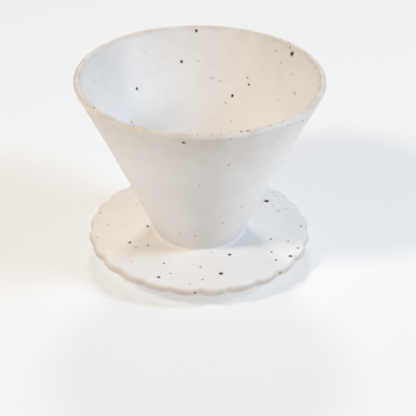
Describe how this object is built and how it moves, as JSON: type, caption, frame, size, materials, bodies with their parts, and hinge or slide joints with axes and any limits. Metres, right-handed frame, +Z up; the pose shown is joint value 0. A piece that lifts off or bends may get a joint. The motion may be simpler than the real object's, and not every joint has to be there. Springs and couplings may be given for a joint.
{
  "type": "pour over coffee dripper",
  "caption": "Handmade stoneware pour over dripper: a thrown cone on a scalloped drip plate, with a locating ring beneath that drops into a mug's mouth.",
  "frame": {"origin": "centre of the locating ring's foot, on the surface the dripper stands on", "axes": "+Z up along the cone's axis, +X to the right and +Y away as seen from the front, where a notch of the scalloped edge faces"},
  "size_m": [0.124, 0.124, 0.1005],
  "materials": {
    "speckled_glaze": "satin off-white glaze with iron specks",
    "bare_clay": "unglazed speckled stoneware"
  },
  "bodies": {
    "root": {"cone_wall": "speckled_glaze", "drip_plate": "speckled_glaze", "locating_ring": "bare_clay", "cone_seam_coil": "speckled_glaze", "floor_seam_coil": "speckled_glaze", "ring_seam_coil": "speckled_glaze"}
  },
  "joints": []
}
